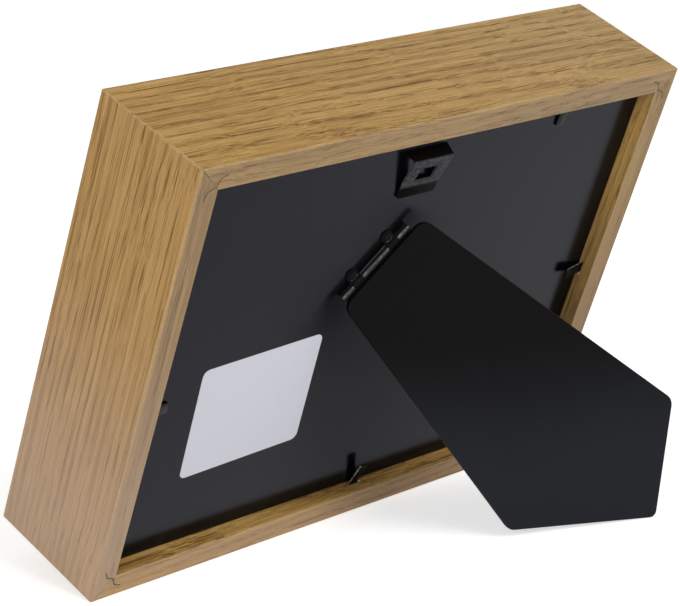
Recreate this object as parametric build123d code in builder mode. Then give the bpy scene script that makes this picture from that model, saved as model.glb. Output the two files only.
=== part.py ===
from build123d import *
import os
from math import atan2, cos, degrees, hypot, radians, sin, tan

os.makedirs("parts", exist_ok=True)

# An oak box frame for a 13 x 18 cm picture, which stands on its long side and on the strut of its
# back. The model stands as in use: +Z up, the picture facing -Y, the floor at Z = 0.
# Places on the frame are given as seen from behind: across from the left edge, up from the
# bottom edge, and out of the back, where the back rim is zero and the front is negative.

# Wooden frame
picture_width = 180.0
picture_height = 130.0
rebate_play = 0.5
wall = 7.5
frame_depth = 43.6
lip_reach = 4.5
lip_thickness = 3.6
arris_radius = 0.5
lean = 20.4

frame_width = picture_width + 2 * (rebate_play + wall)
frame_height = picture_height + 2 * (rebate_play + wall)
cut_overrun = 1.0
quarter_turn = 90.0
mitre_turn = 45.0

# What the rebate holds, from the back to the front
board_recess = 5.35
board_thickness = 2.5
board_corner = 1.5
print_thickness = 0.3
mount_thickness = 1.4
mount_border = 20.0
mount_bevel = 45.0
glass_thickness = 2.0
spacer_thickness = 3.0
stack_play = 0.1

board_back = -board_recess
board_front = board_back - board_thickness
print_front = board_front - print_thickness
mount_front = print_front - mount_thickness
glass_front = lip_thickness - frame_depth
glass_back = glass_front + glass_thickness

# Hanger: a pressed steel bridge near the top edge, with teeth along the top of its window
hanger_offset = 4.0
hanger_margin = 12.9
hanger_width = 16.0
hanger_heel_run = 1.9
hanger_ramp_run = 11.6
hanger_foot_run = 2.5
hanger_height = 3.9
hanger_sheet = 0.7
hanger_bend = 0.4
hanger_corner = 1.5
window_width = 7.4
window_start = 3.3
window_length = 5.6
window_tooth = 0.5
window_teeth = 5
prong_width = 2.4
prong_depth = 2.0
prong_play = 0.05

hanger_across = frame_width / 2 - hanger_offset
hanger_heel = frame_height - hanger_margin
hanger_crest = hanger_heel - hanger_heel_run
hanger_ramp = hanger_crest - hanger_ramp_run
hanger_foot = hanger_ramp - hanger_foot_run

# Strut hinge: the barrel lies askew below the hanger
hinge_side = 9.25
hinge_drop = 21.0
hinge_turn = 47.6
pin_radius = 0.55
pin_play = 0.05
pin_overhang = 0.15
leaf_thickness = 0.5
leaf_corner = 1.5
folded_gap = 0.75
barrel_lift = 0.25
barrel_gap = 0.3
end_knuckle = 4.7
board_knuckle = 4.1
middle_knuckle = 11.1
knuckle_play = 0.1
stop_gap = 0.05
strap_bend = 0.35
strap_corner = 1.9
strut_leaf_length = 9.0

hinge_across = hanger_across - hinge_side
hinge_up = hanger_foot - hinge_drop
barrel_radius = pin_radius + pin_play + leaf_thickness
axis_height = barrel_radius + barrel_lift
barrel_length = 2 * (end_knuckle + board_knuckle) + middle_knuckle
leaf_notch = barrel_radius + barrel_gap
strut_leaf_low = folded_gap - axis_height
strut_leaf_high = strut_leaf_low + leaf_thickness

# Rivets: domed ones through the board's straps, and flush ones in the strut's leaf
rivet_radius = 0.9
rivet_play = 0.05
dome_radius = 1.6
dome_height = 0.8
dome_rounding = 0.7
strap_rivet_reach = 3.15
rivet_end_gap = 0.1
strut_rivet_spread = 8.0
strut_rivet_reach = 5.4
strut_rivet_sink = 1.4
flush_head_radius = 1.5
flush_head_height = 0.25

# Strut: a flared board whose five corners are rounded, swung out from the board to its stop
strut_thickness = 2.0
strut_edge = 0.35
strut_opening = 31.0
strut_offset = 1.5
strut_flare = 8.53
strut_half_width = 14.0
strut_corner = 4.0
tip_corner = 2.2
tip_offset = 3.6
left_corner_setback = 35.5
right_corner_setback = 22.9

# Flexible points: steel strips driven into the rails and bent over the backing board
tab_width = 3.7
tab_thickness = 0.5
tab_lift = 0.9
tab_corner = 0.9
tab_shank = 6.0
tab_play = 0.05
tab_bend_gap = 0.3
bottom_tab_across = 107.3
bottom_tab_blade = 8.5
bottom_tab_rise = 15.5
right_tab_up = 71.0
right_tab_blade = 8.5
right_tab_rise = 9.5
top_tab_across = 151.8
top_tab_blade = 7.6
top_tab_rise = -4.0
left_tab_up = 62.3
left_tab_blade = 7.6
left_tab_rise = -4.0

# V-nails across the mitres
nail_place = 6.3
nail_width = 9.8
nail_wave = 0.55
nail_thickness = 0.35
nail_depth = 7.0
nail_sink = 0.1
nail_play = 0.05

# Paper label, stuck on a little askew
label_across = 50.5
label_up = 52.8
label_width = 45.9
label_height = 39.0
label_corner = 2.3
label_turn = 2.3
label_thickness = 0.15

# The frame rests on its rounded back arris, and the strut's tip reaches the same floor
lean_sin = sin(radians(lean))
lean_cos = cos(radians(lean))
arris_drop = arris_radius * (lean_sin + lean_cos - 1)
turn_sin = sin(radians(hinge_turn))
turn_cos = cos(radians(hinge_turn))
open_sin = sin(radians(strut_opening))
open_cos = cos(radians(strut_opening))
axis_out = board_back + axis_height

# How far a step along the barrel, along the strut and off its face climbs above the floor
climb_along = turn_sin * lean_cos
climb_reach = -open_cos * turn_cos * lean_cos - open_sin * lean_sin
climb_face = open_sin * turn_cos * lean_cos - open_cos * lean_sin
axis_climb = hinge_up * lean_cos - axis_out * lean_sin - arris_drop
inner_rounding = strut_leaf_high + strut_edge
outer_rounding = strut_leaf_high + strut_thickness - strut_edge
lowest_face = min(inner_rounding * climb_face, outer_rounding * climb_face)
tip_drop = (tip_corner - strut_edge) * hypot(climb_along, climb_reach) + strut_edge
tip_along = strut_offset + tip_offset
tip_reach = (axis_climb + tip_along * climb_along - tip_drop + lowest_face) / -climb_reach

# The strut widens evenly from its hinge to the two corners of its foot
hinge_corner_reach = leaf_notch + strut_corner
left_corner_reach = tip_reach - left_corner_setback
right_corner_reach = tip_reach - right_corner_setback
flare_slope = tan(radians(strut_flare))
left_half_width = strut_half_width + (left_corner_reach - hinge_corner_reach) * flare_slope
right_half_width = strut_half_width + (right_corner_reach - hinge_corner_reach) * flare_slope
left_corner_along = strut_offset - left_half_width
right_corner_along = strut_offset + right_half_width

# How far the same steps go backwards over the floor, and how far back the strut comes
back_along = turn_sin * lean_sin
back_reach = open_sin * lean_cos - open_cos * turn_cos * lean_sin
back_face = open_sin * turn_cos * lean_sin + open_cos * lean_cos
axis_back = hinge_up * lean_sin + axis_out * lean_cos
back_across = hypot(back_reach, back_along)
tip_back = tip_reach * back_reach + tip_along * back_along + tip_corner * back_across
right_back = right_corner_reach * back_reach + right_corner_along * back_along + strut_corner * back_across
furthest_corner = max(tip_back, right_back) + strut_edge - strut_edge * back_across
strut_back = axis_back + outer_rounding * back_face + furthest_corner
front_reach = frame_depth * lean_cos - arris_drop
arris_place = (front_reach - strut_back) / 2

# The back of the frame, with its origin in the lower left corner
back = Plane((frame_width / 2, arris_place, -arris_drop), x_dir=(-1, 0, 0), z_dir=(0, lean_cos, -lean_sin))
middle = back.moved(Location((frame_width / 2, frame_height / 2)))
hinge_flat = back.moved(Location((hinge_across, hinge_up, axis_out), (0, 0, hinge_turn - quarter_turn)))
strut_face = hinge_flat.moved(Location((0, 0, 0), (0, -strut_opening, 0)))

# Each side's first corner, its turn from the bottom edge, its length and its flexible point
sides = [
    ("bottom", (0, 0), 0, frame_width, bottom_tab_across),
    ("right", (frame_width, 0), 90, frame_height, right_tab_up),
    ("top", (frame_width, frame_height), 180, frame_width, frame_width - top_tab_across),
    ("left", (0, frame_height), 270, frame_height, frame_height - left_tab_up),
]
tab_blades = [
    (bottom_tab_blade, bottom_tab_rise),
    (right_tab_blade, right_tab_rise),
    (top_tab_blade, top_tab_rise),
    (left_tab_blade, left_tab_rise),
]


def side_plane(corner, turn):
    """The back rim of one side, with x along the side and y inwards."""
    return back.moved(Location((corner[0], corner[1], 0), (0, 0, turn)))


def nail_plane(face, along, turn):
    """The head of a V-nail near one end of a side."""
    return face.moved(Location((along, nail_place, -nail_sink), (0, 0, turn)))


def nail_outline(play):
    """The waved head of a V-nail, or of its slot in the wood where play is added."""
    half = nail_thickness / 2 + play
    reach = nail_width / 2 + play
    waves = [(reach * step / 2, nail_wave * (-1) ** step) for step in range(-2, 3)]
    near_side = [(x, y + half) for x, y in waves]
    far_side = [(x, y - half) for x, y in reversed(waves)]
    return near_side + far_side


# Four mitred oak rails: a wall, a front lip, a slot for the flexible point and nail slots
for name, corner, turn, length, tab_place in sides:
    face = side_plane(corner, turn)
    section = Plane(face.origin, x_dir=face.y_dir, z_dir=face.x_dir)
    lip_end = wall + lip_reach
    mitre_end = lip_end + cut_overrun
    with BuildPart() as rail:
        with BuildSketch(section) as profile:
            with BuildLine():
                Polyline(
                    (0, 0),
                    (wall, 0),
                    (wall, glass_front),
                    (lip_end, glass_front),
                    (lip_end, -frame_depth),
                    (0, -frame_depth),
                    close=True,
                )
            make_face()
            fillet(profile.vertices().group_by(Axis.X)[0], arris_radius)
            fillet(profile.vertices().group_by(Axis.X)[-1].sort_by(Axis.Y)[0], arris_radius)
        extrude(amount=length)
        with BuildSketch(face.offset(cut_overrun)):
            with BuildLine():
                Polyline(
                    (-cut_overrun, -cut_overrun),
                    (-cut_overrun, mitre_end),
                    (mitre_end, mitre_end),
                    close=True,
                )
            make_face()
            with BuildLine():
                Polyline(
                    (length + cut_overrun, -cut_overrun),
                    (length + cut_overrun, mitre_end),
                    (length - mitre_end, mitre_end),
                    close=True,
                )
            make_face()
        extrude(amount=-frame_depth - 2 * cut_overrun, mode=Mode.SUBTRACT)
        slot_depth = tab_shank + tab_play + cut_overrun
        with BuildSketch(face.offset(board_back + tab_lift)):
            with Locations((tab_place, wall + cut_overrun - slot_depth / 2)):
                Rectangle(tab_width + 2 * tab_play, slot_depth)
        extrude(amount=tab_thickness / 2 + tab_play, both=True, mode=Mode.SUBTRACT)
        for along, nail_turn in ((nail_place, -mitre_turn), (length - nail_place, mitre_turn)):
            with BuildSketch(nail_plane(face, along, nail_turn).offset(nail_sink + cut_overrun)):
                with BuildLine():
                    Polyline(*nail_outline(nail_play), close=True)
                make_face()
            slot_length = nail_sink + cut_overrun + nail_depth + nail_play
            extrude(amount=-slot_length, mode=Mode.SUBTRACT)
    rail.part.label = f"rail_{name}"
    export_step(rail.part, f"parts/rail_{name}.step")

# V-nails, one driven across each mitre
with BuildPart() as corner_v_nails:
    for name, corner, turn, length, tab_place in sides:
        with BuildSketch(nail_plane(side_plane(corner, turn), nail_place, -mitre_turn)):
            with BuildLine():
                Polyline(*nail_outline(0), close=True)
            make_face()
        extrude(amount=-nail_depth)
corner_v_nails.part.label = "corner_v_nails"
export_step(corner_v_nails.part, "parts/corner_v_nails.step")

# The halves of the flexible points that sit in the rails
with BuildPart() as tab_shanks:
    for name, corner, turn, length, tab_place in sides:
        with BuildSketch(side_plane(corner, turn).offset(board_back + tab_lift)):
            with Locations((tab_place, wall - tab_shank / 2)):
                Rectangle(tab_width, tab_shank)
        extrude(amount=tab_thickness / 2, both=True)
tab_shanks.part.label = "tab_shanks"
export_step(tab_shanks.part, "parts/tab_shanks.step")

# The halves that hold the back in: each bends about its root, just clear of the rail
for (name, corner, turn, length, tab_place), (reach, rise) in zip(sides, tab_blades):
    root_inset = wall + tab_bend_gap + tab_thickness / 2
    root = Location((tab_place, root_inset, board_back + tab_lift), (rise, 0, 0))
    blade = side_plane(corner, turn).moved(root)
    with BuildPart() as tab:
        with BuildSketch(Plane(blade.origin, x_dir=blade.y_dir, z_dir=blade.x_dir)):
            with Locations((reach / 2, 0)):
                Rectangle(reach, tab_thickness)
            Circle(tab_thickness / 2)
        extrude(amount=tab_width / 2, both=True)
        blade_edges = tab.edges().filter_by(Axis(blade.origin, blade.z_dir))
        fillet(blade_edges.group_by(Axis(blade.origin, blade.y_dir))[-1], tab_corner)
    tab.part.label = f"tab_{name}"
    export_step(tab.part, f"parts/tab_{name}.step")

# Glass laid on the front lip, and the picture behind its mount
sheets = [("glass_pane", glass_front, glass_thickness), ("photo_print", print_front, print_thickness)]
for name, front, thickness in sheets:
    with BuildPart() as sheet:
        with BuildSketch(middle.offset(front)):
            Rectangle(picture_width, picture_height)
        extrude(amount=thickness)
    sheet.part.label = name
    export_step(sheet.part, f"parts/{name}.step")

# Spacer slips around the box: the long ones run through and the short ones stand between them
spacer_depth = mount_front - stack_play - glass_back
short_spacer = picture_height - 2 * (spacer_thickness + stack_play)
long_inset = (picture_height - spacer_thickness) / 2
short_inset = (picture_width - spacer_thickness) / 2
spacers = [
    ("spacer_top", (0, long_inset), picture_width, spacer_thickness),
    ("spacer_bottom", (0, -long_inset), picture_width, spacer_thickness),
    ("spacer_left", (-short_inset, 0), spacer_thickness, short_spacer),
    ("spacer_right", (short_inset, 0), spacer_thickness, short_spacer),
]
for name, place, width, height in spacers:
    with BuildPart() as spacer:
        with BuildSketch(middle.offset(glass_back)):
            with Locations(place):
                Rectangle(width, height)
        extrude(amount=spacer_depth)
    spacer.part.label = name
    export_step(spacer.part, f"parts/{name}.step")

# Mount: card with a window whose edges are bevelled towards the picture
with BuildPart() as mount_board:
    with BuildSketch(middle.offset(mount_front)):
        Rectangle(picture_width, picture_height)
    extrude(amount=mount_thickness)
    with BuildSketch(middle.offset(mount_front)):
        Rectangle(picture_width - 2 * mount_border, picture_height - 2 * mount_border)
    extrude(amount=mount_thickness, taper=mount_bevel, mode=Mode.SUBTRACT)
mount_board.part.label = "mount_board"
export_step(mount_board.part, "parts/mount_board.step")

# Places that the backing board shares with what is fixed to it
strap_middle = (middle_knuckle + board_knuckle) / 2
strap_rivets = [(-strap_rivet_reach, -strap_middle), (-strap_rivet_reach, strap_middle)]
prong_side = (hanger_width - prong_width) / 2
foot_prong = hanger_foot + hanger_corner + hanger_sheet / 2
heel_prong = hanger_heel - hanger_sheet / 2
prong_places = [
    (hanger_across + side, up)
    for side in (-prong_side, prong_side)
    for up in (foot_prong, heel_prong)
]

# Backing board, with slots for the hanger's prongs and holes for the rivets of the hinge
with BuildPart() as backing_board:
    with BuildSketch(middle.offset(board_front)):
        RectangleRounded(picture_width, picture_height, board_corner)
    extrude(amount=board_thickness)
    with BuildSketch(back.offset(board_back)):
        with Locations(prong_places):
            Rectangle(prong_width + 2 * prong_play, hanger_sheet + 2 * prong_play)
    extrude(amount=-prong_depth - prong_play, mode=Mode.SUBTRACT)
    with BuildSketch(hinge_flat.offset(-axis_height)):
        with Locations(strap_rivets):
            Circle(rivet_radius + rivet_play)
    extrude(amount=-board_thickness, mode=Mode.SUBTRACT)
backing_board.part.label = "backing_board"
export_step(backing_board.part, "parts/backing_board.step")

# Hanger: foot, ramp and heel bent from one strip, with a toothed window and prongs in the board
hanger_base = back.moved(Location((hanger_across, 0, board_back)))
hanger_side = Plane(hanger_base.origin, x_dir=back.y_dir, z_dir=back.x_dir)
ramp_angle = degrees(atan2(hanger_height - hanger_sheet, hanger_crest - hanger_ramp))
ramp_top = hanger_base.moved(Location((0, hanger_ramp, hanger_sheet), (ramp_angle, 0, 0)))
window_end = window_start + window_length
tooth_half = window_width / window_teeth / 2
tooth_points = [
    (step * tooth_half - window_width / 2, window_end - window_tooth * (step % 2))
    for step in range(2 * window_teeth + 1)
]
with BuildPart() as hanger_plate:
    with BuildSketch(hanger_side):
        with BuildLine():
            FilletPolyline(
                (hanger_foot, hanger_sheet),
                (hanger_ramp, hanger_sheet),
                (hanger_crest, hanger_height),
                (hanger_heel, 0),
                radius=hanger_bend + hanger_sheet,
            )
            offset(amount=hanger_sheet, side=Side.RIGHT)
        make_face()
        with Locations((hanger_heel, -cut_overrun)):
            Rectangle(2 * hanger_width, 2 * cut_overrun, mode=Mode.SUBTRACT)
    extrude(amount=hanger_width / 2, both=True)
    foot_edges = hanger_plate.edges().filter_by(Axis(back.origin, back.z_dir))
    fillet(foot_edges.group_by(Axis(back.origin, back.y_dir))[0], hanger_corner)
    with BuildSketch(ramp_top):
        with BuildLine():
            Polyline(
                (-window_width / 2, window_start),
                *tooth_points,
                (window_width / 2, window_start),
                close=True,
            )
        make_face()
    extrude(amount=hanger_sheet + cut_overrun, both=True, mode=Mode.SUBTRACT)
    with BuildSketch(back.offset(board_back + hanger_sheet / 2)):
        with Locations(prong_places):
            Rectangle(prong_width, hanger_sheet)
    extrude(amount=-prong_depth - hanger_sheet / 2)
hanger_plate.part.label = "hanger_plate"
export_step(hanger_plate.part, "parts/hanger_plate.step")

# Label
with BuildPart() as label:
    with BuildSketch(back.offset(board_back)):
        with Locations((label_across, label_up)):
            RectangleRounded(label_width, label_height, label_corner, rotation=label_turn)
    extrude(amount=label_thickness)
label.part.label = "label"
export_step(label.part, "parts/label.step")

# Knuckles of the strut: one at each end of the barrel and a long one in the middle
middle_end = middle_knuckle / 2
board_end = middle_end + board_knuckle
barrel_end = barrel_length / 2
strut_knuckles = [(-barrel_end, -board_end), (-middle_end, middle_end), (board_end, barrel_end)]


def barrel_plane(plane, along):
    """A plane across the barrel, with x off the leaf's face and y towards the leaf."""
    origin = plane.from_local_coords(Vector(0, along, 0))
    return Plane(origin, x_dir=plane.z_dir, z_dir=plane.y_dir)


# Straps: each lies on the board, rises to the barrel and wraps the pin as a knuckle
strap_width = board_knuckle - knuckle_play
strap_length = strap_rivet_reach + strap_width / 2
strap_top = leaf_thickness - axis_height
with BuildPart() as hinge_straps:
    for along in (-strap_middle, strap_middle):
        with BuildSketch(barrel_plane(hinge_flat, along)) as section:
            Circle(barrel_radius)
            with Locations((-axis_height / 2, -barrel_radius / 2)):
                Rectangle(axis_height, barrel_radius)
            with Locations((strap_top - leaf_thickness / 2, -strap_length / 2)):
                Rectangle(leaf_thickness, strap_length)
            fillet(section.vertices().sort_by_distance((strap_top, -barrel_radius))[0], strap_bend)
        extrude(amount=strap_width / 2, both=True)
    strap_ends = hinge_straps.edges().filter_by(Axis(back.origin, back.z_dir))
    fillet(strap_ends.group_by(Axis(back.origin, hinge_flat.x_dir))[0], strap_corner)
    with BuildSketch(barrel_plane(hinge_flat, 0)):
        Circle(pin_radius + pin_play)
    extrude(amount=barrel_length, both=True, mode=Mode.SUBTRACT)
    with BuildSketch(hinge_flat.offset(-axis_height)):
        with Locations(strap_rivets):
            Circle(rivet_radius + rivet_play)
    extrude(amount=leaf_thickness, mode=Mode.SUBTRACT)
hinge_straps.part.label = "hinge_straps"
export_step(hinge_straps.part, "parts/hinge_straps.step")

# Strut leaf: three knuckles, and a lip behind the middle one that stops the strut on the board
strut_rivets = [(strut_rivet_reach, -strut_rivet_spread), (strut_rivet_reach, strut_rivet_spread)]
lip_length = (axis_height + strut_leaf_low * open_cos - stop_gap) / open_sin
with BuildPart() as hinge_strut_leaf:
    with BuildSketch(strut_face.offset(strut_leaf_low)) as plate:
        with Locations(((leaf_notch + strut_leaf_length) / 2, 0)):
            Rectangle(strut_leaf_length - leaf_notch, barrel_length)
        fillet(plate.vertices().group_by(Axis.X)[-1], leaf_corner)
        for low, high in strut_knuckles:
            with Locations((leaf_notch / 2, (low + high) / 2)):
                Rectangle(leaf_notch, high - low - knuckle_play)
        with Locations((-lip_length / 2, 0)):
            Rectangle(lip_length, middle_knuckle - knuckle_play)
    extrude(amount=leaf_thickness)
    for low, high in strut_knuckles:
        with BuildSketch(barrel_plane(strut_face, (low + high) / 2)):
            Circle(barrel_radius)
        extrude(amount=(high - low - knuckle_play) / 2, both=True)
    with BuildSketch(barrel_plane(strut_face, 0)):
        Circle(pin_radius + pin_play)
    extrude(amount=barrel_length, both=True, mode=Mode.SUBTRACT)
    with BuildSketch(strut_face.offset(strut_leaf_low)):
        with Locations(strut_rivets):
            Circle(flush_head_radius + rivet_play)
    extrude(amount=flush_head_height, mode=Mode.SUBTRACT)
    with BuildSketch(strut_face.offset(strut_leaf_low)):
        with Locations(strut_rivets):
            Circle(rivet_radius + rivet_play)
    extrude(amount=leaf_thickness, mode=Mode.SUBTRACT)
hinge_strut_leaf.part.label = "hinge_strut_leaf"
export_step(hinge_strut_leaf.part, "parts/hinge_strut_leaf.step")

# Pin, through all five knuckles
with BuildPart() as hinge_pin:
    with BuildSketch(barrel_plane(hinge_flat, 0)):
        Circle(pin_radius)
    extrude(amount=barrel_end + pin_overhang, both=True)
hinge_pin.part.label = "hinge_pin"
export_step(hinge_pin.part, "parts/hinge_pin.step")

# Rivets of the straps: domed heads on the straps, shanks through the board
with BuildPart() as strap_rivet_pair:
    with BuildSketch(hinge_flat.offset(strap_top)):
        with Locations(strap_rivets):
            Circle(dome_radius)
    extrude(amount=dome_height)
    fillet(strap_rivet_pair.edges().group_by(Axis(back.origin, back.z_dir))[-1], dome_rounding)
    with BuildSketch(hinge_flat.offset(strap_top)):
        with Locations(strap_rivets):
            Circle(rivet_radius)
    extrude(amount=rivet_end_gap - leaf_thickness - board_thickness)
strap_rivet_pair.part.label = "strap_rivets"
export_step(strap_rivet_pair.part, "parts/strap_rivets.step")

# Rivets of the strut leaf: heads sunk flush in the leaf, shanks part way into the strut
with BuildPart() as strut_leaf_rivets:
    with BuildSketch(strut_face.offset(strut_leaf_low)):
        with Locations(strut_rivets):
            Circle(flush_head_radius)
    extrude(amount=flush_head_height)
    with BuildSketch(strut_face.offset(strut_leaf_low)):
        with Locations(strut_rivets):
            Circle(rivet_radius)
    extrude(amount=leaf_thickness + strut_rivet_sink)
strut_leaf_rivets.part.label = "strut_leaf_rivets"
export_step(strut_leaf_rivets.part, "parts/strut_leaf_rivets.step")

# Strut, drawn round its five corners
with BuildPart() as strut_board:
    with BuildSketch(strut_face.offset(strut_leaf_high)):
        with Locations(
            (hinge_corner_reach, strut_offset - strut_half_width),
            (hinge_corner_reach, strut_offset + strut_half_width),
            (left_corner_reach, left_corner_along),
            (right_corner_reach, right_corner_along),
        ):
            Circle(strut_corner)
        with Locations((tip_reach, tip_along)):
            Circle(tip_corner)
        make_hull()
    extrude(amount=strut_thickness)
    rims = strut_board.edges().group_by(Axis(back.origin, strut_face.z_dir))
    fillet(rims[0] + rims[-1], strut_edge)
    with BuildSketch(strut_face.offset(strut_leaf_high)):
        with Locations(strut_rivets):
            Circle(rivet_radius + rivet_play)
    extrude(amount=strut_rivet_sink + rivet_play, mode=Mode.SUBTRACT)
strut_board.part.label = "strut_board"
export_step(strut_board.part, "parts/strut_board.step")
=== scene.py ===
import math

import bmesh
import bpy
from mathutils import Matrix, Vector


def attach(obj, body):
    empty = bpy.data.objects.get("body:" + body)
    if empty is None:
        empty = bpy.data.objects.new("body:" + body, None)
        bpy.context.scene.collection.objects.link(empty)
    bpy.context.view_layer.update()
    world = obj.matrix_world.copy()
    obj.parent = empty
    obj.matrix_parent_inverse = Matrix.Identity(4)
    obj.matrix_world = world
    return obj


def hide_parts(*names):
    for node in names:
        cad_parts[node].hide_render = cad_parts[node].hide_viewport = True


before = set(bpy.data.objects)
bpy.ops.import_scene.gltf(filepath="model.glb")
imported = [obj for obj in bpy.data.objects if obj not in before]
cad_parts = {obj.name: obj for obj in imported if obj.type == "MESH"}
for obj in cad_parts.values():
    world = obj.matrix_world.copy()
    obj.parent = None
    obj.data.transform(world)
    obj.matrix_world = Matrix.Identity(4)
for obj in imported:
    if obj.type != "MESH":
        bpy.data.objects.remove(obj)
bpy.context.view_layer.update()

# Oak rails: four lengths of solid oak, planed, mitred at the corners and oiled to a satin.
# The grain runs along each rail. The back rim is left as sawn, so it is paler and pinker, and
# the wood is chipped beside the slots that were cut for the points. Toward the foot the rim and
# the faces are painted pinker and paler, a painted bounce of light from the floor, and the
# arrises carry a painted highlight.
lean = math.radians(20.4)
arris = Vector((0.0, -0.014875, -0.000143))  # the lowest edge of the back rim, in metres
mm = 1000  # to a metre
half_long, half_high, half_deep, wall, slot_half = 98.0, 73.0, 21.8, 7.5, 2.2  # in mm
rail_arris, grain_depth = 0.00018, 0.00008  # in metres
oak_pale = (0.522, 0.323, 0.102, 1)
oak_fawn = (0.486, 0.291, 0.105, 1)
oak_warm = (0.258, 0.128, 0.025, 1)
oak_pore = (0.135, 0.060, 0.010, 1)
oak_rim = (0.335, 0.250, 0.175, 1)
# oak_pink is painted light, bounced from the floor onto the rails toward their foot.
oak_pink = (0.500, 0.350, 0.245, 1)
# oak_edge is the pale of the painted highlight on the arrises and the mitre line.
oak_edge = (0.640, 0.450, 0.230, 1)
oak_grey = (0.085, 0.070, 0.055, 1)
oak_chip = (0.72, 0.58, 0.40, 1)


def add(tree, kind, sockets=None, **settings):
    """A shader node with its settings, and its sockets set or linked by name or number."""
    made = tree.nodes.new(kind)
    for key, value in settings.items():
        setattr(made, key, value)
    for key, value in (sockets or {}).items():
        if isinstance(value, bpy.types.NodeSocket):
            tree.links.new(value, made.inputs[key])
        else:
            made.inputs[key].default_value = value
    return made


def sums(tree, operation, first, second=0.0, third=0.0, clamp=False):
    """One step of arithmetic between sockets or numbers."""
    sockets = {0: first, 1: second, 2: third}
    return add(tree, "ShaderNodeMath", sockets, operation=operation, use_clamp=clamp).outputs[0]


def rise(tree, value, low, high):
    """A value spread from 0 at low to 1 at high."""
    sockets = {0: value, 1: low, 2: high}
    return add(tree, "ShaderNodeMapRange", sockets, interpolation_type="SMOOTHSTEP").outputs[0]


def fall(tree, value, low, high):
    """A value spread from 1 at low to 0 at high."""
    return sums(tree, "SUBTRACT", 1.0, rise(tree, value, low, high))


def moved(tree, operation, first, second=(0, 0, 0)):
    """One step of arithmetic between places."""
    step = add(tree, "ShaderNodeVectorMath", {0: first, 1: second}, operation=operation)
    return step.outputs["Value" if operation == "DOT_PRODUCT" else "Vector"]


def blend(tree, factor, first, second):
    """Two colours mixed."""
    sockets = {0: factor, 6: first, 7: second}
    return add(tree, "ShaderNodeMix", sockets, data_type="RGBA").outputs[2]


def stretched(tree, place, scale, seed, detail=3.0, roughness=0.55):
    """Noise stretched by a scale per axis."""
    scaled = moved(tree, "MULTIPLY", place, scale)
    shifted = moved(tree, "ADD", scaled, (seed, seed * 0.7, -seed))
    sockets = {"Vector": shifted, "Scale": 1.0, "Detail": detail, "Roughness": roughness}
    return add(tree, "ShaderNodeTexNoise", sockets).outputs[0]


def group(name, inputs, outputs):
    """An empty node group with named inputs and outputs."""
    tree = bpy.data.node_groups.new(name, "ShaderNodeTree")
    for label, kind, value in inputs:
        socket = tree.interface.new_socket(label, in_out="INPUT", socket_type=kind)
        if value is not None:
            socket.default_value = value
    for label, kind in outputs:
        tree.interface.new_socket(label, in_out="OUTPUT", socket_type=kind)
    return tree, tree.nodes.new("NodeGroupInput"), tree.nodes.new("NodeGroupOutput")


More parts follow.
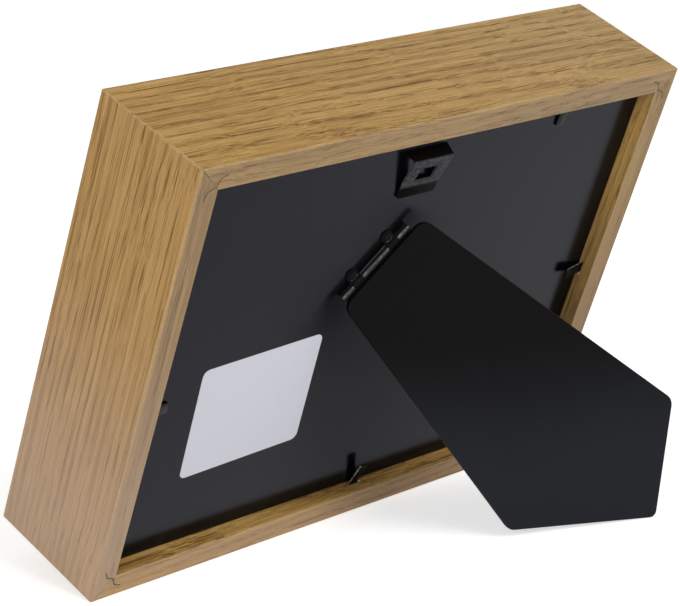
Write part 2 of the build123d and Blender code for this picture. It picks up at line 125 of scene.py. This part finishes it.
def oak_figure():
    """Oak: growth rings cut by the face, bands, streaks and open pores that follow one wavering
    grain. Places are in mm, x along the grain, y through the rail and z across its edge."""
    tree, into, out = group(
        "oak_figure",
        [
            ("Place", "NodeSocketVector", None),
            ("Pale", "NodeSocketColor", oak_pale),
            ("Warm", "NodeSocketColor", oak_warm),
            ("Pore", "NodeSocketColor", oak_pore),
            ("Ring spacing", "NodeSocketFloat", 3.6),
            ("Heart", "NodeSocketVector", (0.0, 45.0, 14.0)),
            ("Waver", "NodeSocketFloat", 1.0),
        ],
        [
            ("Colour", "NodeSocketColor"),
            ("Height", "NodeSocketFloat"),
            ("Pores", "NodeSocketFloat"),
        ],
    )
    place = into.outputs["Place"]
    bend = stretched(tree, place, (0.016, 0.03, 0.03), 3.1, 1.0)
    waver = stretched(tree, place, (0.07, 0.12, 0.12), 8.4, 2.0)
    drift = sums(tree, "MULTIPLY_ADD", bend, 10.0, sums(tree, "MULTIPLY", waver, 1.2))
    drift = sums(tree, "MULTIPLY", drift, into.outputs["Waver"])
    flow = add(tree, "ShaderNodeCombineXYZ", {1: drift, 2: drift})
    flowing = moved(tree, "ADD", place, flow.outputs[0])

    # The rings are circles about the heart of the tree, which leans a little to the rail.
    heart = moved(tree, "ADD", flowing, into.outputs["Heart"])
    along, through, edgeways = add(tree, "ShaderNodeSeparateXYZ", {0: heart}).outputs
    lift = sums(tree, "MULTIPLY_ADD", along, 0.045, through)
    lift = sums(tree, "MULTIPLY", lift, lift)
    squared = sums(tree, "MULTIPLY_ADD", edgeways, edgeways, lift)
    rings = sums(tree, "DIVIDE", sums(tree, "SQRT", squared), into.outputs["Ring spacing"])
    phase = sums(tree, "FRACT", rings)
    early = sums(tree, "MAXIMUM", fall(tree, phase, 0.0, 0.55), rise(tree, phase, 0.78, 1.0))

    bands = rise(tree, stretched(tree, flowing, (0.016, 0.30, 0.30), 5.2, 2.0), 0.36, 0.66)
    streaks = rise(tree, stretched(tree, flowing, (0.030, 1.1, 1.1), 4.4, 2.0), 0.40, 0.66)
    threads = rise(tree, stretched(tree, flowing, (0.045, 2.6, 2.6), 1.7, 2.0), 0.35, 0.70)
    dashes = rise(tree, stretched(tree, flowing, (0.040, 2.8, 2.8), 6.6, 1.0), 0.60, 0.65)
    hairs = rise(tree, stretched(tree, flowing, (0.028, 3.8, 3.8), 2.3, 1.0), 0.57, 0.63)
    patch = rise(tree, stretched(tree, flowing, (0.010, 0.075, 0.075), 7.7, 1.0), 0.38, 0.60)
    fibre = stretched(tree, place, (0.7, 2.6, 2.6), 9.3, 2.0)

    in_early = sums(tree, "MULTIPLY_ADD", early, 0.65, 0.35)
    pores = sums(tree, "MULTIPLY", sums(tree, "MAXIMUM", dashes, hairs), in_early, clamp=True)
    lines = sums(tree, "MULTIPLY", sums(tree, "ADD", streaks, threads), 0.24)
    in_patch = sums(tree, "ADD", patch, 0.55)
    tone = sums(tree, "MULTIPLY_ADD", bands, 0.14, sums(tree, "MULTIPLY", early, 0.20))
    tone = sums(tree, "MULTIPLY_ADD", lines, in_patch, tone)
    fuzz = sums(tree, "SUBTRACT", fibre, 0.5)
    tone = sums(tree, "MULTIPLY_ADD", fuzz, 0.45, tone, clamp=True)
    colour = blend(tree, tone, into.outputs["Pale"], into.outputs["Warm"])
    colour = blend(tree, sums(tree, "MULTIPLY", pores, 0.95), colour, into.outputs["Pore"])
    height = sums(tree, "MULTIPLY_ADD", pores, -1.0, sums(tree, "MULTIPLY", threads, -0.3))
    tree.links.new(colour, out.inputs["Colour"])
    tree.links.new(height, out.inputs["Height"])
    tree.links.new(pores, out.inputs["Pores"])
    return tree


def oak_wear():
    """What the saw and the glue leave on a rail: the sawn rim, greyer and darker toward its head,
    the line of the mitre, and chips at the lower or the right end of its slot. The arrises and the
    mitre line on the outer corners carry a painted highlight, and the rim, and by the floor bounce
    tint the faces, are painted pinker and paler toward the foot, a painted bounce of light from
    the floor. Places are in mm on the frame."""
    tree, into, out = group(
        "oak_wear",
        [
            ("Place", "NodeSocketVector", None),
            ("Planed", "NodeSocketColor", oak_pale),
            ("Floor bounce tint", "NodeSocketFloat", 0.0),
            ("Dull", "NodeSocketFloat", 0.0),
            ("Slot end", "NodeSocketVector", (0.0, 0.0, 0.0)),
        ],
        [("Colour", "NodeSocketColor")],
    )
    place = into.outputs["Place"]
    row, up, back = add(tree, "ShaderNodeSeparateXYZ", {0: place}).outputs

    def inside(value, half, middle=0.0):
        """How far a place lies inside the frame's outline."""
        beyond = sums(tree, "ABSOLUTE", sums(tree, "SUBTRACT", value, middle))
        return sums(tree, "SUBTRACT", half, beyond)

    from_side = inside(row, half_long)
    from_top = inside(up, half_high, half_high)
    from_face = sums(tree, "ABSOLUTE", inside(back, half_deep, half_deep))
    from_outside = sums(tree, "MINIMUM", from_side, from_top)
    from_opening = sums(tree, "ABSOLUTE", sums(tree, "SUBTRACT", from_outside, wall))
    from_outline = sums(tree, "MINIMUM", sums(tree, "ABSOLUTE", from_outside), from_opening)
    edge = fall(tree, sums(tree, "ADD", from_outline, from_face), 0.25, 0.9)
    askew = sums(tree, "ABSOLUTE", sums(tree, "SUBTRACT", from_side, from_top))
    mitre = fall(tree, askew, 0.15, 0.55)
    gap = fall(tree, askew, 0.05, 0.22)

    # Painted floor bounce: paler and pinker toward the foot.
    floor_bounce = fall(tree, up, 8.0, 105.0)
    sawn = fall(tree, back, 0.05, 0.5)
    grey = sums(tree, "MULTIPLY", sawn, rise(tree, up, 95.0, 142.0))
    grey = sums(tree, "MULTIPLY", grey, into.outputs["Dull"])
    floor_bounce_tint = sums(tree, "MULTIPLY", floor_bounce, into.outputs["Floor bounce tint"])
    colour = blend(tree, floor_bounce_tint, into.outputs["Planed"], oak_pink)
    rim = blend(tree, floor_bounce, oak_rim, oak_pink)
    colour = blend(tree, sums(tree, "MULTIPLY", sawn, 0.45), colour, rim)
    colour = blend(tree, grey, colour, oak_grey)

    fray = stretched(tree, place, (1.1, 1.1, 1.1), 6.1)
    # A painted highlight along the arrises, broken up by noise.
    frayed_edge_highlight = sums(tree, "MULTIPLY", edge, rise(tree, fray, 0.2, 0.7))
    planed = sums(tree, "MULTIPLY_ADD", sawn, -0.7, 1.0)
    # The light line of the mitre, strongest on the planed faces, where it is a painted highlight
    # along the outer corners.
    joined = sums(tree, "MULTIPLY", mitre, sums(tree, "MULTIPLY", planed, 0.85))
    joined = sums(tree, "MULTIPLY", joined, rise(tree, fray, 0.30, 0.52))
    light = sums(tree, "MAXIMUM", sums(tree, "MULTIPLY", frayed_edge_highlight, 0.3), joined)
    colour = blend(tree, light, colour, oak_edge)
    colour = blend(tree, sums(tree, "MULTIPLY", gap, 0.45), colour, oak_pore)

    off = moved(tree, "ABSOLUTE", moved(tree, "SUBTRACT", place, into.outputs["Slot end"]))
    from_end = moved(tree, "DOT_PRODUCT", off, (1, 1, 1))
    chipped = fall(tree, from_end, 0.5, 1.1)
    chipped = sums(tree, "MULTIPLY", chipped, rise(tree, fray, 0.3, 0.5))
    tree.links.new(blend(tree, chipped, colour, oak_chip), out.inputs["Colour"])
    return tree


oak_figure_group = oak_figure()
oak_wear_group = oak_wear()


def finish_of(name, roughness=0.5, metallic=0.0, specular=0.5):
    """A new material with its shader, whose plain values are set on the shader itself."""
    made = bpy.data.materials.new(name)
    made.use_nodes = True
    tree = made.node_tree
    shader = next(n for n in tree.nodes if n.type == "BSDF_PRINCIPLED")
    shader.inputs["Roughness"].default_value = roughness
    shader.inputs["Metallic"].default_value = metallic
    shader.inputs["Specular IOR Level"].default_value = specular
    return made, tree, shader


def frame_place(tree):
    """Places in mm on the frame itself: x along it, y up it and z from its back to its front."""
    seat = add(tree, "ShaderNodeTexCoord")
    lifted = moved(tree, "ADD", seat.outputs["Object"], tuple(-arris))
    turn = (lean - math.pi / 2, 0, 0)
    sockets = {"Vector": lifted, "Rotation": turn, "Scale": (mm, mm, mm)}
    return add(tree, "ShaderNodeMapping", sockets).outputs[0]


def relief(tree, shader, height, distance):
    """Fine relief from a height."""
    bump = add(tree, "ShaderNodeBump", {"Height": height, "Distance": distance, "Strength": 1.0})
    tree.links.new(bump.outputs[0], shader.inputs["Normal"])


def oak(name, upright, pale, heart, shift, waver, fine, floor_bounce_tint, dull, slot):
    """Oak for one rail, with the grain along it and a figure of its own. Fine is how close the
    figure lies along the grain and across it, and slot the middle of the rail's slot in mm."""
    made, tree, shader = finish_of(name, roughness=0.5, specular=0.2)
    place = frame_place(tree)
    length, width = fine
    turn = (0, math.radians(2.0), -math.pi / 2) if upright else (0, 0, 0)
    scale = (width, length, width) if upright else (length, width, width)
    grain = add(
        tree, "ShaderNodeMapping",
        {"Vector": place, "Rotation": turn, "Location": (shift, 0, 0), "Scale": scale},
    )
    figure = add(
        tree, "ShaderNodeGroup",
        {"Place": grain.outputs[0], "Pale": pale, "Heart": heart, "Waver": waver},
        node_tree=oak_figure_group,
    )
    reach = Vector((0, slot_half, 0) if upright else (slot_half, 0, 0))
    wear = add(
        tree, "ShaderNodeGroup",
        {
            "Place": place, "Planed": figure.outputs["Colour"], "Floor bounce tint": floor_bounce_tint, "Dull": dull,
            "Slot end": Vector(slot) - reach,
        },
        node_tree=oak_wear_group,
    )
    tree.links.new(wear.outputs["Colour"], shader.inputs["Base Color"])
    rough = sums(tree, "MULTIPLY_ADD", figure.outputs["Pores"], 0.25, 0.46)
    tree.links.new(rough, shader.inputs["Roughness"])
    relief(tree, shader, figure.outputs["Height"], grain_depth)
    return made


def eased(node, width):
    """A copy of a CAD piece, its facets joined and its sharp edges eased."""
    weld, level, corner, crease = 0.000005, math.radians(0.5), math.radians(32), math.radians(40)
    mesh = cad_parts[node].data.copy()
    work = bmesh.new()
    work.from_mesh(mesh)
    bmesh.ops.remove_doubles(work, verts=work.verts, dist=weld)
    bmesh.ops.dissolve_limit(work, angle_limit=level, verts=work.verts, edges=work.edges)
    sharp = [e for e in work.edges if len(e.link_faces) == 2 and e.calc_face_angle() > corner]
    bmesh.ops.bevel(
        work, geom=sharp, offset=width, offset_type="OFFSET", segments=2, profile=0.5,
        affect="EDGES", clamp_overlap=True, material=-1,
    )
    for face in work.faces:
        face.smooth = True
    work.to_mesh(mesh)
    work.free()
    mesh.set_sharp_from_angle(angle=crease)
    piece = bpy.data.objects.new(node + "_eased", mesh)
    bpy.context.scene.collection.objects.link(piece)
    return piece


def dress(piece, material):
    """One material all over a piece."""
    piece.data.materials.clear()
    piece.data.materials.append(material)
    for face in piece.data.polygons:
        face.material_index = 0


# Floor bounce tint says how far a rail's faces are painted pinker toward the foot, a painted
# bounce of light from the floor.
rails = {
    "rail_top": dict(
        upright=False, pale=oak_pale, heart=(0.0, -190.0, -2.0), shift=40.0, waver=0.9,
        fine=(0.85, 1.1), floor_bounce_tint=0.0, dull=0.0, slot=(-53.8, 138.5, 4.45),
    ),
    "rail_bottom": dict(
        upright=False, pale=oak_pale, heart=(0.0, 38.0, -20.0), shift=300.0, waver=0.8,
        fine=(0.85, 1.1), floor_bounce_tint=0.0, dull=0.0, slot=(-9.3, 7.5, 4.45),
    ),
    "rail_left": dict(
        upright=True, pale=oak_fawn, heart=(0.0, 60.0, 55.0), shift=520.0, waver=0.45,
        fine=(0.55, 1.25), floor_bounce_tint=0.7, dull=0.2, slot=(90.5, 62.3, 4.45),
    ),
    "rail_right": dict(
        upright=True, pale=oak_pale, heart=(0.0, -150.0, 40.0), shift=760.0, waver=0.6,
        fine=(0.6, 1.2), floor_bounce_tint=0.15, dull=0.1, slot=(-90.5, 71.0, 4.45),
    ),
}
for node, figure in rails.items():
    piece = eased(node, rail_arris)
    dress(piece, oak(node.replace("rail", "oak"), **figure))
    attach(piece, "frame")
    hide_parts(node)

# V-nails: waved strips of steel, sharpened along one edge. A press drives one across each mitre
# from the back until its head lies just below the wood.
nail_steel, tree, shader = finish_of("nail_steel", roughness=0.5, metallic=0.4)
scale = stretched(tree, frame_place(tree), (1.3, 1.3, 1.3), 4.0)
steel = blend(tree, scale, (0.08, 0.052, 0.030, 1), (0.19, 0.13, 0.075, 1))
tree.links.new(steel, shader.inputs["Base Color"])
dress(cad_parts["corner_v_nails"], nail_steel)

# Glass: a pane of 2 mm float glass, cut with a little play for the rebate and laid loose on
# the front lip.
float_glass, tree, shader = finish_of("float_glass", roughness=0.02)
shader.inputs["Transmission Weight"].default_value = 1.0
shader.inputs["IOR"].default_value = 1.5
smears = stretched(tree, frame_place(tree), (0.02, 0.03, 0.02), 7.0)
clear = blend(tree, smears, (0.93, 0.97, 0.955, 1), (0.97, 0.99, 0.98, 1))
tree.links.new(clear, shader.inputs["Base Color"])
smeared = sums(tree, "MULTIPLY", rise(tree, smears, 0.5, 0.8), 0.05)
tree.links.new(smeared, shader.inputs["Roughness"])
dress(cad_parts["glass_pane"], float_glass)

# Spacers: four softwood slips, brushed with white paint. They are pushed in around the box
# and hold the mount away from the glass.
brush_depth = 0.00003  # in metres
spacer_paint, tree, shader = finish_of("spacer_paint", roughness=0.6)
strokes = stretched(tree, frame_place(tree), (0.3, 0.3, 2.2), 2.0)
paint = blend(tree, strokes, (0.74, 0.73, 0.70, 1), (0.84, 0.83, 0.80, 1))
tree.links.new(paint, shader.inputs["Base Color"])
relief(tree, shader, strokes, brush_depth)
for side in ("top", "bottom", "left", "right"):
    dress(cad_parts["spacer_" + side], spacer_paint)

# Mount: 1.4 mm card with a window whose edge is cut on the bevel. It lies on the spacers and
# covers the picture's margin.
paper_depth = 0.00002  # in metres


def paper_grain():
    """The grain of paper, card or coated board, alike every way. Places are in mm. Fine is how
    close it lies, Seed where it starts, and Detail how far it breaks up."""
    tree, into, out = group(
        "paper_grain",
        [
            ("Place", "NodeSocketVector", None),
            ("Fine", "NodeSocketFloat", 1.0),
            ("Seed", "NodeSocketFloat", 1.0),
            ("Detail", "NodeSocketFloat", 3.0),
        ],
        [("Grain", "NodeSocketFloat")],
    )
    scaled = moved(tree, "MULTIPLY", into.outputs["Place"], into.outputs["Fine"])
    start = moved(tree, "MULTIPLY", into.outputs["Seed"], (1.0, 0.7, -1.0))
    shifted = moved(tree, "ADD", scaled, start)
    detail = into.outputs["Detail"]
    sockets = {"Vector": shifted, "Scale": 1.0, "Detail": detail, "Roughness": 0.55}
    grain = add(tree, "ShaderNodeTexNoise", sockets).outputs[0]
    tree.links.new(grain, out.inputs["Grain"])
    return tree


paper_grain_group = paper_grain()


def grained(tree, place, fine, seed, detail):
    """Paper grain of one size."""
    sockets = {"Place": place, "Fine": fine, "Seed": seed, "Detail": detail}
    return add(tree, "ShaderNodeGroup", sockets, node_tree=paper_grain_group).outputs["Grain"]


mount_card, tree, shader = finish_of("mount_card", roughness=0.85, specular=0.2)
tooth = grained(tree, frame_place(tree), 1.4, 5.0, 4.0)
card = blend(tree, tooth, (0.78, 0.76, 0.70, 1), (0.86, 0.84, 0.79, 1))
tree.links.new(card, shader.inputs["Base Color"])
relief(tree, shader, tooth, paper_depth)
dress(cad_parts["mount_board"], mount_card)

# Picture: a plain paper insert, washed from pale ground up to pale sky, held flat between the
# mount and the back.
paper_insert, tree, shader = finish_of("paper_insert", roughness=0.4)
place = frame_place(tree)
up = add(tree, "ShaderNodeSeparateXYZ", {0: place}).outputs[1]
wash = stretched(tree, place, (0.01, 0.035, 0.0), 12.0, 5.0)
climb = sums(tree, "MULTIPLY_ADD", wash, 18.0, up)
ground, mist, sky = (0.42, 0.47, 0.38, 1), (0.72, 0.74, 0.70, 1), (0.46, 0.58, 0.68, 1)
colour = blend(tree, rise(tree, climb, 30.0, 78.0), ground, mist)
colour = blend(tree, rise(tree, climb, 76.0, 130.0), colour, sky)
tree.links.new(colour, shader.inputs["Base Color"])
dress(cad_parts["photo_print"], paper_insert)

# Backing board: 2.5 mm hardboard faced with black coated paper, satin and faintly pebbled. It
# closes the rebate and mirrors what stands on it.
board_skin, tree, shader = finish_of("board_skin", roughness=0.2, specular=0.152)
shader.inputs["Specular Tint"].default_value = (0.67, 0.68, 1.0, 1)
place = frame_place(tree)
pebble = grained(tree, place, 1.6, 3.0, 2.0)
haze = grained(tree, place, 0.05, 1.0, 4.0)
skin = blend(tree, haze, (0.0021, 0.0021, 0.0028, 1), (0.0034, 0.0034, 0.0045, 1))
tree.links.new(skin, shader.inputs["Base Color"])
tree.links.new(sums(tree, "MULTIPLY_ADD", haze, 0.14, 0.12), shader.inputs["Roughness"])
relief(tree, shader, pebble, paper_depth)
dress(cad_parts["backing_board"], board_skin)

# Label: a bare white paper label with rounded corners, stuck on the board by hand and so a
# little askew.
label_paper, tree, shader = finish_of("label_paper", roughness=0.55)
fibre = grained(tree, frame_place(tree), 0.8, 6.0, 4.0)
paper = blend(tree, fibre, (0.66, 0.665, 0.735, 1), (0.72, 0.725, 0.795, 1))
tree.links.new(paper, shader.inputs["Base Color"])
relief(tree, shader, fibre, paper_depth)
dress(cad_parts["label"], label_paper)

# Hanger: one strip of 0.7 mm steel, pressed into a bridge, its window toothed, lacquered black
# and clinched through the board. Its lower ramp is painted lighter grey, a painted sheen where it
# faces the light.
steel_depth, hanger_arris = 0.00002, 0.00012  # in metres


def coat_wear_and_sheen():
    """Black on steel with dust and rubbed spots, which on the hanger's lower ramp stand for a
    painted sheen. Rubbed and lit share says how far the skin is rubbed, and on the hanger how far
    it is painted lighter.
    """
    tree, into, out = group(
        "coat_wear_and_sheen",
        [
            ("Place", "NodeSocketVector", None),
            ("Skin", "NodeSocketColor", (0.005, 0.005, 0.005, 1)),
            ("Rubbed and lit", "NodeSocketColor", (0.07, 0.07, 0.07, 1)),
            ("Rubbed and lit share", "NodeSocketFloat", 0.3),
        ],
        [("Colour", "NodeSocketColor"), ("Mottle", "NodeSocketFloat")],
    )
    dust = stretched(tree, into.outputs["Place"], (0.9, 0.9, 0.9), 4.4, 5.0, 0.7)
    mottle = stretched(tree, into.outputs["Place"], (0.4, 0.4, 0.4), 11.1)
    spots = sums(tree, "MULTIPLY_ADD", rise(tree, dust, 0.40, 0.66), 0.75, 0.45)
    rubbed_and_lit = sums(tree, "MULTIPLY", spots, into.outputs["Rubbed and lit share"], clamp=True)
    colour = blend(tree, rubbed_and_lit, into.outputs["Skin"], into.outputs["Rubbed and lit"])
    tree.links.new(colour, out.inputs["Colour"])
    tree.links.new(mottle, out.inputs["Mottle"])
    return tree


coat_wear_and_sheen_group = coat_wear_and_sheen()


def blackened(name, skin, bare_and_lit, share, specular, roughness=0.32):
    """Blackened steel. Share says how far it is rubbed, and on the hanger how far its ramp is
    painted lighter as a painted sheen. It is a number, or a function of the tree and its places in
    mm that gives a socket."""
    made, tree, shader = finish_of(name, roughness=roughness, specular=specular)
    place = frame_place(tree)
    rubbed_and_lit = share(tree, place) if callable(share) else share
    coat = add(
        tree, "ShaderNodeGroup",
        {"Place": place, "Skin": skin, "Rubbed and lit": bare_and_lit, "Rubbed and lit share": rubbed_and_lit},
        node_tree=coat_wear_and_sheen_group,
    )
    mottle = coat.outputs["Mottle"]
    tree.links.new(coat.outputs["Colour"], shader.inputs["Base Color"])
    rough = sums(tree, "MULTIPLY_ADD", mottle, 0.2, roughness - 0.1)
    tree.links.new(rough, shader.inputs["Roughness"])
    relief(tree, shader, mottle, steel_depth)
    return made


def lit_lower_ramp(tree, place):
    """The hanger's ramp below its window, down to where it lies on the board, where a painted
    sheen makes it lighter than the foot and the return.
    """
    _, up, back = add(tree, "ShaderNodeSeparateXYZ", {0: place}).outputs
    below = fall(tree, up, 130.9, 131.5)
    return sums(tree, "MULTIPLY", below, fall(tree, back, 4.15, 4.5))


# The lighter grey of the lower ramp is a painted sheen.
hanger_lacquer = blackened(
    "hanger_lacquer", (0.004, 0.0035, 0.003, 1), (0.080, 0.080, 0.090, 1), lit_lower_ramp, 0.01
)
piece = eased("hanger_plate", hanger_arris)
dress(piece, hanger_lacquer)
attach(piece, "frame")
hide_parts("hanger_plate")

# Flexible points: blued steel strips, fired into the rails and bent over the board. Those that
# stand off it take a darker copy of the steel, a painted shade, and their side faces toward the
# light carry a painted highlight.
point_arris = 0.00010  # in metres
glint_facing = 0.6
point_blue = blackened("point_blue", (0.003, 0.003, 0.004, 1), (0.02, 0.02, 0.022, 1), 0.2, 0.11)
# A darker copy of the blued steel: painted shade for the points that stand off the board.
point_blue_shaded = blackened("point_blue_shaded", (0.003, 0.003, 0.003, 1), (0.02, 0.02, 0.02, 1), 0.3, 0.015)
# A bright steel that is a painted highlight on the lit side faces of two points and on the rivet
# heads beside the barrel.
painted_glint_steel, tree, shader = finish_of("painted_glint_steel", roughness=0.35, metallic=0.7)
nicks = stretched(tree, frame_place(tree), (1.6, 1.6, 1.6), 3.3, 3.0)
torn, glint = (0.05, 0.05, 0.045, 1), (0.62, 0.61, 0.57, 1)
colour = blend(tree, rise(tree, nicks, 0.38, 0.6), torn, glint)
tree.links.new(colour, shader.inputs["Base Color"])
dress(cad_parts["tab_shanks"], point_blue)
for side, lit_side in (("top", None), ("right", (0, 1)), ("bottom", (1, 0)), ("left", None)):
    piece = eased("tab_" + side, point_arris)
    dress(piece, point_blue_shaded if lit_side else point_blue)
    # On the points that stand off the board, the side faces toward the light carry the painted
    # highlight.
    if lit_side:
        piece.data.materials.append(painted_glint_steel)
        width = Vector((lit_side[0], lit_side[1] * math.sin(lean), lit_side[1] * math.cos(lean)))
        for face in piece.data.polygons:
            face.material_index = int(face.normal.dot(width) > glint_facing)
    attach(piece, "point_" + side)
    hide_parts("tab_" + side)

# Hinge: two straps riveted to the board and a leaf riveted to the strut are rolled about one
# pin. The steel is blackened, with a painted highlight along the upper shoulder of the strut's
# knuckles and the pin.
pin_place = (13.25, 96.1, 4.0)  # in mm on the frame
highlight_side = (0.568, 0.519, -0.64)
strap_arris, leaf_arris = 0.00010, 0.00008  # in metres
rivet_glint_facing = 0.12
hinge_black = blackened(
    "hinge_black", (0.003, 0.003, 0.003, 1), (0.02, 0.02, 0.02, 1), 0.35, 0.03, 0.33
)
knuckle_steel, tree, shader = finish_of("knuckle_steel", roughness=0.34, metallic=0.6)
place = frame_place(tree)
barrel = moved(tree, "SUBTRACT", place, pin_place)
shoulder = moved(tree, "DOT_PRODUCT", barrel, highlight_side)
scuff = stretched(tree, place, (0.9, 0.9, 0.9), 5.5, 4.0)
# A painted highlight: a band along the upper shoulder of the barrel, broken up by noise.
highlight_band = rise(tree, sums(tree, "MULTIPLY_ADD", scuff, 0.25, shoulder), 1.16, 1.28)
colour = blend(tree, highlight_band, (0.016, 0.016, 0.015, 1), (0.115, 0.112, 0.105, 1))
tree.links.new(colour, shader.inputs["Base Color"])
relief(tree, shader, scuff, steel_depth)
for node, body, material, width in (
    ("hinge_straps", "frame", hinge_black, strap_arris),
    ("hinge_strut_leaf", "strut", knuckle_steel, leaf_arris),
):
    piece = eased(node, width)
    dress(piece, material)
    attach(piece, body)
    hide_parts(node)
dress(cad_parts["hinge_pin"], knuckle_steel)
dress(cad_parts["strut_leaf_rivets"], hinge_black)
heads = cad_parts["strap_rivets"]
dress(heads, hinge_black)
# The rivet heads' faces toward the barrel carry a painted highlight.
heads.data.materials.append(painted_glint_steel)
rivet_glint_side = Vector((-0.738, -0.674 * math.sin(lean), -0.674 * math.cos(lean)))
for face in heads.data.polygons:
    face.material_index = int(face.normal.dot(rivet_glint_side) > rivet_glint_facing)

# Strut: 2 mm hardboard faced with matt black paper, its edges rounded over. It is sawn to its
# five sides and riveted to the hinge's leaf.
strut_skin, tree, shader = finish_of("strut_skin", roughness=0.6, specular=0.07)
place = frame_place(tree)
tooth = grained(tree, place, 2.2, 8.0, 2.0)
haze = grained(tree, place, 0.02, 2.0, 3.0)
# The black is painted lighter toward the foot, a painted reflection of the floor.
seat = add(tree, "ShaderNodeTexCoord").outputs["Object"]
height = add(tree, "ShaderNodeSeparateXYZ", {0: seat}).outputs[2]
lit_toward_foot = rise(tree, sums(tree, "MULTIPLY_ADD", haze, 0.02, height), 0.078, 0.030)
colour = blend(tree, lit_toward_foot, (0.002, 0.002, 0.002, 1), (0.0145, 0.0155, 0.019, 1))
tree.links.new(colour, shader.inputs["Base Color"])
relief(tree, shader, tooth, paper_depth)
dress(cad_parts["strut_board"], strut_skin)

# Studio: a pale floor, white surroundings and two soft lamps, one behind the frame and one
# beside it. The floor and the surroundings show white without lighting the frame more.
white = (1, 1, 1, 1)
floor_half = 6.0  # in metres
floor_glow, sky_light = 0.55, 0.38


def showing(tree):
    """1 for what the eye, a mirror or a glass shows, and 0 for the light that falls on things."""
    path = add(tree, "ShaderNodeLightPath")
    shown = sums(tree, "MAXIMUM", path.outputs["Is Camera Ray"], path.outputs["Is Glossy Ray"])
    return sums(tree, "MAXIMUM", shown, path.outputs["Is Transmission Ray"])


floor_mesh = bpy.data.meshes.new("floor")
floor_work = bmesh.new()
bmesh.ops.create_grid(floor_work, x_segments=1, y_segments=1, size=floor_half)
floor_work.to_mesh(floor_mesh)
floor_work.free()
floor = bpy.data.objects.new("floor", floor_mesh)
bpy.context.scene.collection.objects.link(floor)
floor_paint, tree, shader = finish_of("floor_paint", roughness=0.9, specular=0.1)
shader.inputs["Base Color"].default_value = (0.86, 0.86, 0.86, 1)
shader.inputs["Emission Color"].default_value = white
glow = sums(tree, "MULTIPLY", showing(tree), floor_glow)
tree.links.new(glow, shader.inputs["Emission Strength"])
dress(floor, floor_paint)

world = bpy.data.worlds.new("studio_white")
bpy.context.scene.world = world
world.use_nodes = True
tree = world.node_tree
surround = next(n for n in tree.nodes if n.type == "BACKGROUND")
surround.inputs["Color"].default_value = white
glow = sums(tree, "MULTIPLY_ADD", showing(tree), 1.0 - sky_light, sky_light)
tree.links.new(glow, surround.inputs["Strength"])


def lamp(name, place, target, size, watts):
    """A soft square lamp that faces a target."""
    data = bpy.data.lights.new(name, "AREA")
    data.energy = watts
    data.size = size
    made = bpy.data.objects.new(name, data)
    bpy.context.scene.collection.objects.link(made)
    made.location = place
    made.rotation_euler = (Vector(target) - Vector(place)).to_track_quat("-Z", "Y").to_euler()


centre = (0, 0, 0.07)
lamp("back_softbox", (-0.15, 1.15, 1.15), centre, 0.9, 11.0)
lamp("side_softbox", (1.3, 0.5, 0.5), centre, 1.0, 9.3)

# Camera: a long lens, more than half a metre away, that looks a little down on the back of the
# frame from one side.
view = bpy.data.cameras.new("camera")
view.lens = 131.884
view.sensor_width = 36
view.dof.use_dof = False
camera = bpy.data.objects.new("camera", view)
bpy.context.scene.collection.objects.link(camera)
camera.location = (0.50923, 0.50657, 0.28857)
camera.rotation_euler = (math.radians(73.289), math.radians(-0.342), math.radians(135.696))
bpy.context.scene.camera = camera
bpy.context.scene.view_settings.view_transform = "Standard"
